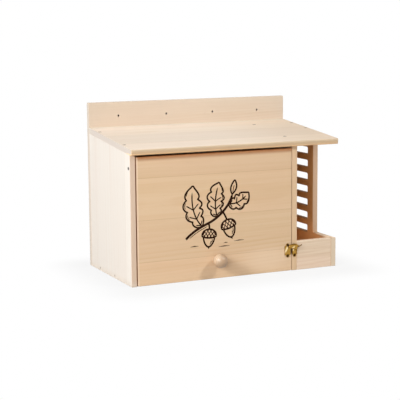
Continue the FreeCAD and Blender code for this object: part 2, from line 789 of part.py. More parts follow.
os.makedirs("parts", exist_ok=True)
for node in nodes:
    node.Shape.exportStep("parts/%s.step" % node.Label)
    box = node.Shape.BoundBox
    print("%-20s %2d solids  %9.1f mm3  x %.1f..%.1f  y %.1f..%.1f  z %.1f..%.1f" % (
        node.Label, len(node.Shape.Solids), node.Shape.Volume,
        box.XMin, box.XMax, box.YMin, box.YMax, box.ZMin, box.ZMax))
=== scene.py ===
import json
import math

import bpy
from mathutils import Matrix, Vector


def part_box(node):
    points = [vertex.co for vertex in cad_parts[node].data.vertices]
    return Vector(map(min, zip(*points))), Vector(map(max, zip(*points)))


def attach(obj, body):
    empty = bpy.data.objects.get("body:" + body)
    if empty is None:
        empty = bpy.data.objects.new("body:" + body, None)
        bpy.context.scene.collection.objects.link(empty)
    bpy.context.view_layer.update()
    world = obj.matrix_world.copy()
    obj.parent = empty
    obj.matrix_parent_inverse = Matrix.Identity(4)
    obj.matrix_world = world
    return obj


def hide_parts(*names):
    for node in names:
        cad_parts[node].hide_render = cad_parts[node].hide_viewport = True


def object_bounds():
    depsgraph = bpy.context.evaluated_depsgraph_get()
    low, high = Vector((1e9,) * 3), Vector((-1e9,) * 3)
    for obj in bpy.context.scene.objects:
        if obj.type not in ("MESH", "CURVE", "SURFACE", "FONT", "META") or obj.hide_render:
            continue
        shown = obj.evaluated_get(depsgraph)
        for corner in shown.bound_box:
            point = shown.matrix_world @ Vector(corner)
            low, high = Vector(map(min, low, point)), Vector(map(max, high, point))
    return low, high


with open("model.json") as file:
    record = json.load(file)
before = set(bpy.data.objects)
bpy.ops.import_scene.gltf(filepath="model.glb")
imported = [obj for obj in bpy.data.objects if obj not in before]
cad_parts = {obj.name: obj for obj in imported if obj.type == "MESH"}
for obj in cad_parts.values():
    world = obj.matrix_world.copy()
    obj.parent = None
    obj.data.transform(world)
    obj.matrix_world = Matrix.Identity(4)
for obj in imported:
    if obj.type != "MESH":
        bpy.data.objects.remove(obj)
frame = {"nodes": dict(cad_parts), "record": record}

cadBox = [list(corner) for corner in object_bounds()]
scene = bpy.context.scene
mm = 0.001
weldDistance = 0.002 * mm
flatAngle = math.radians(0.5)
bodyOf = {node: body for body, nodes in frame["record"]["behaviour"]["bodies"].items()
          for node in nodes}


def deselectAll():
    if bpy.context.object and bpy.context.object.mode != "OBJECT":
        bpy.ops.object.mode_set(mode="OBJECT")
    bpy.ops.object.select_all(action="DESELECT")


def makeActive(piece):
    deselectAll()
    piece.select_set(True)
    bpy.context.view_layer.objects.active = piece


def applyModifier(piece, kind, **settings):
    makeActive(piece)
    modifier = piece.modifiers.new(kind.title(), kind)
    for key, value in settings.items():
        setattr(modifier, key, value)
    bpy.ops.object.modifier_apply(modifier=modifier.name)


def settle(piece):  # puts the place into the mesh, so the object sits at the origin
    makeActive(piece)
    bpy.ops.object.transform_apply(location=True, rotation=True, scale=True)


def smoothByAngle(piece, degrees):
    makeActive(piece)
    bpy.ops.object.shade_smooth_by_angle(angle=math.radians(degrees))


def evenShading(piece, degrees):  # smooth below the angle, with flat faces kept flat
    smoothByAngle(piece, degrees)
    applyModifier(piece, "WEIGHTED_NORMAL", weight=90, keep_sharp=True)


def newPiece(name, data):
    piece = bpy.data.objects.new(name, data)
    scene.collection.objects.link(piece)
    return piece


def dress(piece, material):
    piece.data.materials.clear()
    piece.data.materials.append(material)


def finishPiece(piece, body, material, nodes=()):
    dress(piece, material)
    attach(piece, body)
    if nodes:
        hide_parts(*nodes)
    return piece


def copyOfNode(node, name):  # a merged copy of a CAD node, with its flat faces whole again
    piece = newPiece(name, frame["nodes"][node].data.copy())
    makeActive(piece)
    bpy.ops.mesh.customdata_custom_splitnormals_clear()
    bpy.ops.object.mode_set(mode="EDIT")
    bpy.ops.mesh.select_all(action="SELECT")
    bpy.ops.mesh.remove_doubles(threshold=weldDistance)
    bpy.ops.mesh.mark_sharp(clear=True)
    bpy.ops.mesh.dissolve_limited(angle_limit=flatAngle)
    bpy.ops.object.mode_set(mode="OBJECT")
    return piece


def colour(red, green, blue):  # a screen colour as linear light
    def linear(level):
        level = level / 255
        return level / 12.92 if level <= 0.04045 else ((level + 0.055) / 1.055) ** 2.4
    return (linear(red), linear(green), linear(blue), 1)


def newMaterial(name):
    material = bpy.data.materials.new(name)
    material.use_nodes = True
    tree = material.node_tree
    return material, tree, tree.nodes["Principled BSDF"]


def add(tree, kind, inputs=None, **settings):
    made = tree.nodes.new("ShaderNode" + kind)
    for key, value in settings.items():
        setattr(made, key, value)
    for key, value in (inputs or {}).items():
        if isinstance(value, bpy.types.NodeSocket):
            tree.links.new(value, made.inputs[key])
        else:
            made.inputs[key].default_value = value
    return made


def maths(tree, operation, first, second=0.0, third=0.0):
    return add(tree, "Math", {0: first, 1: second, 2: third}, operation=operation).outputs[0]


def vectors(tree, operation, first, second=(0, 0, 0)):
    made = add(tree, "VectorMath", {0: first, 1: second}, operation=operation)
    return made.outputs["Value" if operation == "LENGTH" else "Vector"]


def ramp(tree, factor, low, high):  # 0 at low, 1 at high, smooth between
    made = add(tree, "MapRange", {"Value": factor, "From Min": low, "From Max": high},
               interpolation_type="SMOOTHSTEP")
    return made.outputs["Result"]


def opposite(tree, factor):
    return maths(tree, "SUBTRACT", 1.0, factor)


def swing(tree, pattern, amount, level):  # level, and up or down from it with the pattern
    return maths(tree, "MULTIPLY_ADD", maths(tree, "SUBTRACT", pattern, 0.5), amount, level)


def blend(tree, factor, first, second, mode="MIX"):
    made = add(tree, "Mix", {0: factor, 6: first, 7: second}, data_type="RGBA", blend_type=mode)
    return made.outputs[2]


def tint(tree, base, mask, show, tone):  # a tone over the base where the mask is
    return blend(tree, maths(tree, "MULTIPLY", mask, show), base, tone)


def shadeBy(tree, base, level):
    grey = add(tree, "CombineColor", {0: level, 1: level, 2: level}).outputs[0]
    return blend(tree, 1.0, base, grey, "MULTIPLY")


def noise(tree, vector, scale, detail=2.0, roughness=0.5):
    made = add(tree, "TexNoise", {"Vector": vector, "Scale": scale, "Detail": detail,
                                  "Roughness": roughness})
    return made.outputs["Fac"]


def stretched(tree, vector, scale):
    return vectors(tree, "MULTIPLY", vector, scale)


def splitVector(tree, vector, axes=(0, 1, 2)):
    parts = add(tree, "SeparateXYZ", {0: vector}).outputs
    return [parts[axis] for axis in axes]


def feed(tree, shader, **sockets):  # links patterns to the shader, as in baseColor=tone
    names = {"baseColor": "Base Color", "roughness": "Roughness"}
    for key, value in sockets.items():
        tree.links.new(value, shader.inputs[names[key]])


def setLevels(shader, **levels):  # plain numbers on the shader's own sockets
    names = {"specular": "Specular IOR Level", "metallic": "Metallic", "roughness": "Roughness"}
    for key, value in levels.items():
        shader.inputs[names[key]].default_value = value


def addBump(tree, shader, height, strength, depth):  # depth in mm
    bump = add(tree, "Bump", {"Strength": strength, "Distance": depth * mm, "Height": height})
    tree.links.new(bump.outputs[0], shader.inputs["Normal"])


# The grain of every board: noise scales along, through and across it, and where each fades in
grain = {
    "waver": (2.2, 9, 9), "ringLevel": (3, 60, 60), "fibre": (14, 1100, 1100),
    "streak": (2.5, 120, 120), "vessel": (55, 1900, 1900), "drift": (3.5, 14, 14),
    "lateRise": (0.25, 0.88), "lateFall": (0.9, 1.0), "ringLevelFade": (0.25, 0.75),
    "streakFade": (0.35, 0.75), "driftFade": (0.3, 0.7), "vesselFade": (0.67, 0.74),
    "faceFade": (0.75, 0.95), "edgeTo": 0.99, "glueWidth": 0.6 * mm,
    "logShift": 3.0, "heartSpreadAcross": 0.12, "heartSpreadThrough": 0.05,
    "specular": 0.04, "lateGloss": -0.08, "fibreRoughness": 0.12, "lateRelief": 0.35,
    "vesselRelief": -0.5, "glueRelief": -0.8, "bump": 0.35, "bumpDepth": 0.12,
}


def cutStaves(tree, place, look):
    # The board is glued up from staves, each cut from another place of the log
    along, through, across = place
    stave = maths(tree, "DIVIDE", maths(tree, "SUBTRACT", across, look["staveStart"]),
                  look["staveWidth"])
    number = maths(tree, "ADD", maths(tree, "FLOOR", stave), look["seed"])
    dice = add(tree, "TexWhiteNoise", {"W": number}, noise_dimensions="1D").outputs["Color"]
    chances = add(tree, "SeparateColor", {0: dice}).outputs
    alongLog = maths(tree, "MULTIPLY_ADD", chances[0], grain["logShift"], along)
    point = add(tree, "CombineXYZ", {0: alongLog, 1: through, 2: across}).outputs[0]
    fromJoint = maths(tree, "MULTIPLY", maths(tree, "FRACT", stave), look["staveWidth"])
    return alongLog, point, chances, fromJoint


def lateWood(tree, place, alongLog, point, chances, look):
    # Growth rings round a slightly tilted and wavering heart, 1 in the dark wood of each
    through, across = place[1:]
    tilted = maths(tree, "ADD", maths(tree, "MULTIPLY", alongLog, look["tilt"]),
                   look["heartAcross"])
    heartAcross = swing(tree, chances[1], grain["heartSpreadAcross"], tilted)
    heartThrough = maths(tree, "MULTIPLY_ADD", chances[2], grain["heartSpreadThrough"],
                         look["heartThrough"])
    fromHeart = add(tree, "CombineXYZ", {0: maths(tree, "SUBTRACT", across, heartAcross),
                                         1: maths(tree, "SUBTRACT", through, heartThrough)})
    radius = vectors(tree, "LENGTH", fromHeart.outputs[0])
    waver = noise(tree, stretched(tree, point, grain["waver"]), 1.0, 3.0)
    rings = swing(tree, waver, look["waver"], maths(tree, "DIVIDE", radius, look["ringWidth"]))
    ring = maths(tree, "FRACT", rings)
    late = maths(tree, "MULTIPLY", ramp(tree, ring, *grain["lateRise"]),
                 opposite(tree, ramp(tree, ring, *grain["lateFall"])))
    level = noise(tree, stretched(tree, point, grain["ringLevel"]), 1.0)
    return maths(tree, "MULTIPLY", late, ramp(tree, level, *grain["ringLevelFade"]))


def layBand(tree, wood, band, place, longEdge):
    # A soft band of another tone from start to end along one axis
    fade = ramp(tree, place[band["axis"]], band["end"], band["start"])
    if band["onEdge"]:
        fade = maths(tree, "MULTIPLY", fade, longEdge)
    return tint(tree, wood, fade, band["show"], band["tone"])


def layMark(tree, wood, mark, coords, axes):
    # A round mark of another tone about each of its places, by distance
    scale = [0, 0, 0]
    for axis, reach in zip(axes, mark["reach"]):
        scale[axis] = 1 / (reach * mm)
    nearest = 2.0  # outside every mark, which ends at 1
    for place in mark["at"]:
        offset = vectors(tree, "SUBTRACT", coords, place)
        away = vectors(tree, "LENGTH", stretched(tree, offset, scale))
        nearest = maths(tree, "MINIMUM", away, nearest)
    inside = opposite(tree, ramp(tree, nearest, mark["core"], 1.0))
    return tint(tree, wood, inside, mark["show"], mark["tone"])


# One wood for all boards: axes gives the row axes along the grain, through and across the board
def woodMaterial(name, look):
    material, tree, shader = newMaterial(name)
    texture = add(tree, "TexCoord").outputs
    coords = texture["Object"]
    place = splitVector(tree, coords, look["axes"])
    facing = splitVector(tree, texture["Normal"], look["axes"])
    alongLog, point, chances, fromJoint = cutStaves(tree, place, look)
    late = lateWood(tree, place, alongLog, point, chances, look)

    # Fine fibres, short dark vessels and a broad drift of tone
    fibre = noise(tree, stretched(tree, point, grain["fibre"]), 1.0, 4.0, 0.65)
    streak = noise(tree, stretched(tree, point, grain["streak"]), 1.0, 3.0, 0.6)
    vessel = noise(tree, stretched(tree, point, grain["vessel"]), 1.0)
    vessel = ramp(tree, vessel, *grain["vesselFade"])
    drift = noise(tree, stretched(tree, point, grain["drift"]), 1.0)
    wood = tint(tree, look["pale"], late, look["ringShow"], look["late"])
    wood = tint(tree, wood, ramp(tree, streak, *grain["streakFade"]), look["streakShow"],
                look["late"])
    wood = tint(tree, wood, ramp(tree, drift, *grain["driftFade"]), look["blushShow"],
                look["blush"])
    wood = tint(tree, wood, vessel, look["vesselShow"], look["deep"])
    shade = swing(tree, fibre, look["fibreShow"], 1.0)
    wood = shadeBy(tree, wood, swing(tree, chances[2], look["staveShow"], shade))

    # A thin glue line between staves, then end grain, long edges, and painted shading on the inner
    # face
    glue = maths(tree, "LESS_THAN", fromJoint, grain["glueWidth"])
    wood = tint(tree, wood, glue, look["glueShow"], look["deep"])
    endGrain = ramp(tree, maths(tree, "ABSOLUTE", facing[0]), *grain["faceFade"])
    wood = tint(tree, wood, endGrain, look["endShow"], look["end"])
    longEdge = ramp(tree, maths(tree, "ABSOLUTE", facing[2]), look["edgeFrom"], grain["edgeTo"])
    wood = tint(tree, wood, longEdge, look["edgeShow"], look["edge"])
    for band in look["bands"]:
        wood = layBand(tree, wood, band, place, longEdge)
    # Painted shading on the inner face: darker in the porch and chamber, brighter on the porch
    # floor
    inner = ramp(tree, maths(tree, "MULTIPLY", facing[1], look["paintedInnerShadingSide"]), *grain["faceFade"])
    wood = tint(tree, wood, inner, look["paintedInnerShadingShow"], look["inner"])
    for mark in look["marks"]:
        wood = layMark(tree, wood, mark, coords, look["axes"])

    rough = maths(tree, "MULTIPLY_ADD", late, grain["lateGloss"], look["roughness"])
    rough = maths(tree, "MULTIPLY_ADD", fibre, grain["fibreRoughness"], rough)
    feed(tree, shader, baseColor=wood, roughness=rough)
    setLevels(shader, specular=grain["specular"])
    relief = maths(tree, "MULTIPLY_ADD", late, grain["lateRelief"], fibre)
    relief = maths(tree, "MULTIPLY_ADD", vessel, grain["vesselRelief"], relief)
    relief = maths(tree, "MULTIPLY_ADD", glue, grain["glueRelief"], relief)
    addBump(tree, shader, relief, grain["bump"], grain["bumpDepth"])
    return material


pineLook = {
    "axes": (0, 1, 2), "staveStart": -0.3065, "staveWidth": 0.072, "seed": 1.0,
    "tilt": 0.03, "heartAcross": -0.16, "heartThrough": -0.10, "ringWidth": 4.6 * mm, "waver": 2.6,
    "pale": colour(222, 193, 158), "late": colour(206, 168, 124), "blush": colour(224, 187, 155),
    "deep": colour(140, 98, 62), "edge": colour(214, 182, 144), "end": colour(212, 178, 140),
    "ringShow": 0.4, "streakShow": 0.3, "blushShow": 0.35, "vesselShow": 0.25, "fibreShow": 0.10,
    "staveShow": 0.07, "glueShow": 0.3, "roughness": 0.66,
    "endShow": 0.6, "edgeShow": 0.15, "edgeFrom": 0.75,
    # inner is the tone of that painted shading on faces inside the porch and chamber
    "inner": colour(212, 152, 94), "paintedInnerShadingSide": 1, "paintedInnerShadingShow": 0.0,
    "bands": (), "marks": (),
}
# Painted light: the left board is written pale and washed out as the face lit hardest by the lamps
# on the left; its front edge keeps a darker tone
paintedLitSideTones = {
    "pale": colour(228, 221, 212), "late": colour(218, 204, 190), "blush": colour(228, 216, 205),
    "deep": colour(180, 146, 116), "edge": colour(214, 187, 163), "edgeShow": 0.95,
    "edgeFrom": 0.3,
}
# Painted light: the roof's top and left end are written pale as faces lit from above and the left;
# its nose keeps a darker tone
paintedLitRoofTones = {
    "pale": colour(241, 226, 208), "late": colour(229, 207, 181), "blush": colour(242, 223, 208),
    "deep": colour(150, 118, 82), "edge": colour(206, 173, 136), "edgeShow": 0.95,
    "edgeFrom": 0.3, "end": colour(206, 195, 185), "endShow": 0.95,
}
# The back panel's left end is written pale, as painted light from the lamps on the left
stripTones = {
    "pale": colour(221, 204, 184), "late": colour(208, 182, 154), "blush": colour(223, 199, 182),
    "deep": colour(146, 106, 72), "end": colour(210, 203, 197), "endShow": 0.95,
}
trayTones = {
    "pale": colour(238, 219, 195), "late": colour(213, 183, 149), "blush": colour(240, 208, 186),
}


bradSpread, headDepth = 4 * mm, 0.05 * mm  # how far a brad's and its head's points lie apart


def headsOf(node, outwards):  # the middle of each brad's head in a CAD node
    outwards = Vector(outwards)
    brads = []
    for vertex in frame["nodes"][node].data.vertices:
        place = vertex.co.copy()
        level = place.dot(outwards)
        beside = place - outwards * level
        for brad in brads:
            if (brad["beside"] - beside).length < bradSpread:
                break
        else:
            brad = {"beside": beside, "points": []}
            brads.append(brad)
        brad["points"].append((level, place))
    heads = []
    for brad in brads:
        top = max(level for level, place in brad["points"])
        corners = [place for level, place in brad["points"] if level > top - headDepth]
        heads.append(sum(corners, Vector()) / len(corners))
    return heads


def softBand(axis, start, end, tone, show, onEdge=False):  # axis 0 along, 1 through, 2 across
    return {"axis": axis, "start": start, "end": end, "tone": colour(*tone), "show": show,
            "onEdge": onEdge}


def roundMark(at, reach, core, tone, show):  # reach in mm along, through and across the board
    return {"at": at, "reach": reach, "core": core, "tone": colour(*tone), "show": show}


def bruises(node, outwards, show=0.85):  # the fibres crushed round the sunk brads
    return roundMark(headsOf(node, outwards), (3.2, 1, 2.2), 0.45, (112, 82, 56), show)


def paintedGapShade(x, reach):  # the boards' corner between the two latch plates, painted dark as the shade in the narrow gap
    return roundMark([(x, doorFront, -0.2385)], reach, 0.45, (80, 34, 2), 0.92)


def paintedGapEdge(start, end):  # the door's end arrises, painted dark as the shade of the gaps beside the door
    return softBand(0, start, end, (112, 62, 26), 0.85)


doorLow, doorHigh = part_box("door_panel")
doorFront = doorLow.y
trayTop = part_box("tray_front_wall")[1].z
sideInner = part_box("left_side_panel")[1].x
noseFoot = min(vertex.co.z for vertex in frame["nodes"]["roof_panel"].data.vertices)
leftEnd, floorHeight = cadBox[0][0], cadBox[0][2]
rightEnd = cadBox[1][0]

boardLooks = {
    "door_panel": {
        # Its end tone is end grain, made darker still as painted shade of the gaps beside the door
        **pineLook, "seed": 3.0, "end": colour(140, 98, 62), "endShow": 0.9,
        # Painted shade in the gap by the latch plates
        "marks": (paintedGapShade(0.1077, (1.3, 2, 10)),
                  roundMark([(0.06, doorFront, -0.25)], (75, 12, 32), 0.2, (240, 216, 188), 0.4)),
        "bands": (
            # Painted shadow of the roof's nose across the door's top, lighter again at the top
            # arris
            softBand(2, doorHigh.z - 1 * mm, doorHigh.z - 9 * mm, (168, 112, 74), 0.9),
            softBand(2, doorHigh.z - 0.5 * mm, doorHigh.z - 4 * mm, (222, 162, 112), 0.8),
            # Painted highlight along the door's left arris
            softBand(0, doorLow.x + 2.5 * mm, doorLow.x + 4 * mm, (238, 210, 182), 0.6),
            # Painted shade of the gaps at both ends of the door
            paintedGapEdge(doorLow.x, doorLow.x + 1.0 * mm),
            paintedGapEdge(doorHigh.x, doorHigh.x - 0.4 * mm))},
    "tray_front_wall": {
        **pineLook, **trayTones, "seed": 11.0, "staveStart": -0.30, "staveWidth": 0.11,
        "ringWidth": 5.2 * mm, "waver": 4.5, "ringShow": 0.6, "blushShow": 0.6,
        "fibreShow": 0.2, "streakShow": 0.6},
    "back_panel": {
        **pineLook, **stripTones, "seed": 5.0, "staveStart": -0.27, "staveWidth": 0.11,
        "bands": (softBand(0, leftEnd, 0.08, (208, 190, 168), 0.4),),
        "marks": (bruises("back_panel_nails", (0, 1, 0)),
                  # Painted shade inside the four wall-screw holes
                  roundMark([(x, -0.005, 0) for x in (-0.1425, -0.0475, 0.0475, 0.1425)],
                            (2.2, 9, 2.2), 0.92, (74, 44, 24), 0.95))},
    "roof_panel": {
        **pineLook, **paintedLitRoofTones, "axes": (0, 2, 1), "seed": 7.0, "staveStart": -0.31,
        "heartAcross": -0.1, "heartThrough": -0.14,
        "bands": (
            softBand(0, rightEnd, -0.02, (212, 184, 150), 0.35),
            softBand(2, 0.0, -0.03, (216, 209, 192), 0.8),
            softBand(1, noseFoot + 7.5 * mm, noseFoot + 4 * mm, (204, 184, 154), 0.7, True),
            # Painted highlight along the nose's lower arris
            softBand(1, noseFoot + 1.6 * mm, noseFoot + 3 * mm, (255, 214, 164), 0.95))},
    "left_side_panel": {
        **pineLook, **paintedLitSideTones, "axes": (2, 0, 1), "seed": 9.0, "staveStart": -0.33,
        # Its inner face is painted darker as shade
        "heartAcross": -0.1, "heartThrough": -0.3, "paintedInnerShadingShow": 0.35,
        "ringShow": 0.25, "streakShow": 0.2, "fibreShow": 0.06,
        "bands": (
            # Painted shade of the gap beside the door, then painted shade darker towards the
            # bottom edge
            softBand(1, sideInner - 0.2 * mm, sideInner - 1.5 * mm, (158, 104, 62), 0.85),
            softBand(0, floorHeight + 0.5 * mm, floorHeight + 13 * mm, (218, 204, 188), 0.55)),
        "marks": (bruises("left_side_nails", (-1, 0, 0), 0.45),
                  roundMark(headsOf("pivot_pin_left", (-1, 0, 0)), (3.4, 1, 4.6), 0.6,
                            (100, 88, 76), 0.85))},
    "divider_panel": {
        **pineLook, "axes": (2, 0, 1), "seed": 13.0, "staveStart": -0.33, "heartAcross": -0.1,
        # Its face towards the door is painted darker as shade
        "heartThrough": 0.02, "paintedInnerShadingSide": -1, "paintedInnerShadingShow": 0.2,
        # Painted shade in the gap by the latch plates
        "marks": (paintedGapShade(0.109, (10, 1, 3)),)},
    "right_side_panel": {
        **pineLook, "axes": (2, 0, 1), "seed": 15.0, "staveStart": -0.33, "heartAcross": -0.1,
        # Its inner face in the porch is painted deep brown as shade
        "heartThrough": 0.1, "paintedInnerShadingSide": -1, "paintedInnerShadingShow": 0.9,
        "edge": colour(222, 188, 158), "edgeShow": 0.9,
        # Its dark end tone is end grain, made darker as painted shade in the slots' cut faces
        "end": colour(134, 92, 56), "endShow": 0.9,
        "bands": (
            softBand(0, trayTop - 1 * mm, trayTop + 1 * mm, (223, 204, 178), 0.95, True),),
        "marks": (
            bruises("right_side_nails", (1, 0, 0)),
            # Painted light: a pale orange glow of bounce light low on the inner face, from the
            # porch floor
            roundMark([(0.189, -0.13, -0.245)], (60, 4, 90), 0.5, (246, 188, 134), 0.8),
            roundMark([(0.195, -0.18, trayTop)], (3.4, 8, 38), 0.7, (244, 220, 192), 0.9))},
    "chamber_floor": {
        **pineLook, "axes": (0, 2, 1), "seed": 17.0, "staveStart": -0.31, "heartThrough": -0.35,
        "heartAcross": -0.1},
    "porch_floor": {
        **pineLook, "axes": (1, 2, 0), "seed": 19.0, "staveStart": 0.0, "heartThrough": -0.35,
        # Its top is painted brighter and more orange as bounce light inside the porch
        "heartAcross": 0.155, "inner": colour(246, 200, 148), "paintedInnerShadingShow": 0.9},
}
for node, look in boardLooks.items():
    board = copyOfNode(node, node + "_board")
    evenShading(board, 30)
    finishPiece(board, bodyOf[node], woodMaterial("wood." + node, look), [node])
print("boards", len(boardLooks))


steelLooks = {
    "bradSteel": {"bright": colour(128, 122, 114), "dull": colour(84, 76, 68),
                  "roughness": 0.42, "metallic": 0.6, "specular": 0.5},
    "darkSteel": {"bright": colour(76, 66, 58), "dull": colour(46, 38, 32),
                  "roughness": 0.5, "metallic": 0.3, "specular": 0.5},
    "tackBronze": {"bright": colour(40, 14, 2), "dull": colour(20, 6, 0),
                   "roughness": 0.5, "metallic": 0.0, "specular": 0.05},
}


def steelMaterial(name):
    look = steelLooks[name]
    material, tree, shader = newMaterial(name)
    coords = add(tree, "TexCoord").outputs["Object"]
    film = ramp(tree, noise(tree, coords, 700.0, 3.0), 0.35, 0.7)
    feed(tree, shader, baseColor=blend(tree, film, look["bright"], look["dull"]),
         roughness=maths(tree, "MULTIPLY_ADD", film, 0.2, look["roughness"]))
    setLevels(shader, metallic=look["metallic"], specular=look["specular"])
    addBump(tree, shader, noise(tree, coords, 1600.0, 2.0), 0.3, 0.04)
    return material


bradSteel, darkSteel, tackBronze = (steelMaterial(name) for name in steelLooks)
for node in ("roof_nails", "left_side_nails", "divider_nails", "right_side_nails",
             "back_panel_nails", "knob_screw"):
    dress(frame["nodes"][node], bradSteel)
for node in ("pivot_pin_left", "pivot_pin_right"):
    dress(frame["nodes"][node], darkSteel)
print("nails and pins")


# Rings of a dent as (along the grain, across it) in mm
dent = {"steps": 28, "hole": (1.25, 0.65), "crest": (2.3, 1.5), "rim": (3.3, 2.3), "lift": 0.06,
        "sink": 0.036, "bright": colour(138, 106, 78), "dark": colour(94, 68, 46)}


def dentMaterial():  # bruised fibres round a sunk brad
    material, tree, shader = newMaterial("bruisedWood")
    coords = add(tree, "TexCoord").outputs["Object"]
    fibre = noise(tree, stretched(tree, coords, (300, 1200, 1200)), 1.0, 3.0, 0.6)
    feed(tree, shader,
         baseColor=blend(tree, ramp(tree, fibre, 0.3, 0.7), dent["bright"], dent["dark"]))
    setLevels(shader, roughness=0.75, specular=0.1)
    addBump(tree, shader, fibre, 0.4, 0.08)
    return material


def makeDent():  # the raised, bruised fibres round one brad's head, lying in the XY plane
    deselectAll()
    bpy.ops.mesh.primitive_circle_add(vertices=dent["steps"], radius=mm, fill_type="NOTHING",
                                      location=(0, 0, 0))
    piece = bpy.context.object
    piece.name = "brad_dent"
    rim, crest, hole = dent["rim"], dent["crest"], dent["hole"]
    bpy.ops.object.mode_set(mode="EDIT")
    bpy.ops.mesh.select_all(action="SELECT")
    bpy.ops.transform.resize(value=(rim[0], rim[1], 1), center_override=(0, 0, 0))
    for outer, inner, rise in ((rim, crest, dent["lift"]), (crest, hole, -dent["sink"])):
        bpy.ops.mesh.extrude_region_move(TRANSFORM_OT_translate={"value": (0, 0, rise * mm)})
        bpy.ops.transform.resize(value=(inner[0] / outer[0], inner[1] / outer[1], 1),
                                 center_override=(0, 0, 0))
    bpy.ops.mesh.select_all(action="SELECT")
    bpy.ops.mesh.normals_make_consistent(inside=False)
    bpy.ops.object.mode_set(mode="OBJECT")
    if piece.data.polygons[0].normal.z < 0:
        piece.data.flip_normals()
    return piece


def roofNormal():  # square to the roof's top, from its slope between the nail rows
    heads = sorted(headsOf("roof_nails", (0, 0, 1)), key=lambda head: head.y)
    rise = heads[-1] - heads[0]
    return Vector((0, -rise.z, rise.y)).normalized()


def placeDents():
    pattern, bruised = makeDent(), dentMaterial()
    roofRight, roofUp = Vector((1, 0, 0)), roofNormal()
    heads = headsOf("roof_nails", roofUp)
    turn = Matrix((roofRight, roofUp.cross(roofRight), roofUp)).transposed()
    for number, head in enumerate(heads, 1):
        piece = newPiece("brad_dent_%02d" % number, pattern.data.copy())
        piece.matrix_world = Matrix.Translation(head) @ turn.to_4x4()
        settle(piece)
        smoothByAngle(piece, 60)
        finishPiece(piece, "case", bruised)
    bpy.data.objects.remove(pattern)
    return len(heads)


print("brad dents", placeDents())


# Sizes in mm, then the turned wood's patterns and tones
knob = {"steps": 72, "ballRadius": 12.5, "reach": 16.0, "footRadius": 7.0, "waistRadius": 5.5,
        "waistCurve": 6.0, "footLip": 0.5,
        "ringsPerMetre": 420.0, "ringWaver": 1.2, "ringFade": (0.5, 0.95), "ringShow": 0.3,
        "fibre": (1400, 60, 1400), "fibreShow": 0.1, "fibreRoughness": 0.1,
        "fleck": (2600, 220, 900), "fleckFade": (0.62, 0.7), "fleckShow": 0.25,
        "paintedLightSlant": -0.6, "paintedLightFade": (-19 * mm, -3 * mm), "roughness": 0.27, "specular": 0.6,
        "paintedLitTone": colour(230, 206, 178), "paintedShadedTone": colour(179, 148, 117),
        "lateTone": colour(164, 132, 100), "fleckTone": colour(160, 116, 78)}
knobLow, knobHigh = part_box("door_knob")
knobCentre = (knobLow + knobHigh) / 2


def turnedWoodMaterial():  # the grain of a turned ball runs along its axis, which is Y
    material, tree, shader = newMaterial("turnedBeech")
    coords = add(tree, "TexCoord").outputs["Object"]
    x, z = splitVector(tree, coords, (0, 2))
    rings = maths(tree, "MULTIPLY_ADD", noise(tree, coords, 60.0), knob["ringWaver"],
                  maths(tree, "MULTIPLY", x, knob["ringsPerMetre"]))
    late = ramp(tree, maths(tree, "FRACT", rings), *knob["ringFade"])
    fibre = noise(tree, stretched(tree, coords, knob["fibre"]), 1.0, 3.0, 0.6)
    fleck = noise(tree, stretched(tree, coords, knob["fleck"]), 1.0)
    fleck = ramp(tree, fleck, *knob["fleckFade"])
    # Painted light and shade: the side up and to the left, towards the lamps, is paler than the
    # side down and to the right
    rightwards = maths(tree, "SUBTRACT", x, knobCentre.x)
    upwards = maths(tree, "SUBTRACT", z, knobCentre.z)
    slant = maths(tree, "MULTIPLY_ADD", upwards, knob["paintedLightSlant"], rightwards)
    paintedShadeMask = ramp(tree, slant, *knob["paintedLightFade"])
    tone = blend(tree, paintedShadeMask, knob["paintedLitTone"], knob["paintedShadedTone"])
    tone = tint(tree, tone, late, knob["ringShow"], knob["lateTone"])
    tone = tint(tree, tone, fleck, knob["fleckShow"], knob["fleckTone"])
    rough = maths(tree, "MULTIPLY_ADD", fibre, knob["fibreRoughness"], knob["roughness"])
    feed(tree, shader, baseColor=shadeBy(tree, tone, swing(tree, fibre, knob["fibreShow"], 1.0)),
         roughness=rough)
    setLevels(shader, specular=knob["specular"])
    addBump(tree, shader, fibre, 0.2, 0.06)
    return material


def arcPoints(centre, radius, startDegrees, endDegrees, count):
    # (radius, height) points along an arc
    points = []
    for step in range(count + 1):
        angle = math.radians(startDegrees + (endDegrees - startDegrees) * step / count)
        points.append((centre[0] + radius * math.cos(angle),
                       centre[1] + radius * math.sin(angle)))
    return points


def knobProfile():  # foot at the door, a hollow waist and the ball, as the CAD knob has them
    waistHeight = knob["reach"] - math.sqrt(knob["ballRadius"] ** 2 - knob["waistRadius"] ** 2)
    foot = Vector((knob["footRadius"], knob["footLip"]))
    waist = Vector((knob["waistRadius"], waistHeight))
    chord = waist - foot
    sideways = Vector((-chord.y, chord.x)).normalized()
    rise = math.sqrt(knob["waistCurve"] ** 2 - chord.length_squared / 4)
    centre = (foot + waist) / 2 - sideways * rise
    start = math.degrees(math.atan2(foot.y - centre.y, foot.x - centre.x))
    end = math.degrees(math.atan2(waist.y - centre.y, waist.x - centre.x))
    if end - start > 180:
        end -= 360
    waistAngle = math.degrees(math.asin((waistHeight - knob["reach"]) / knob["ballRadius"]))
    return ([(0, 0), (knob["footRadius"] - 0.3, 0), (knob["footRadius"], 0.15)]
            + arcPoints(centre, knob["waistCurve"], start, end, 8)
            + arcPoints((0, knob["reach"]), knob["ballRadius"], waistAngle, 90, 34)[1:])


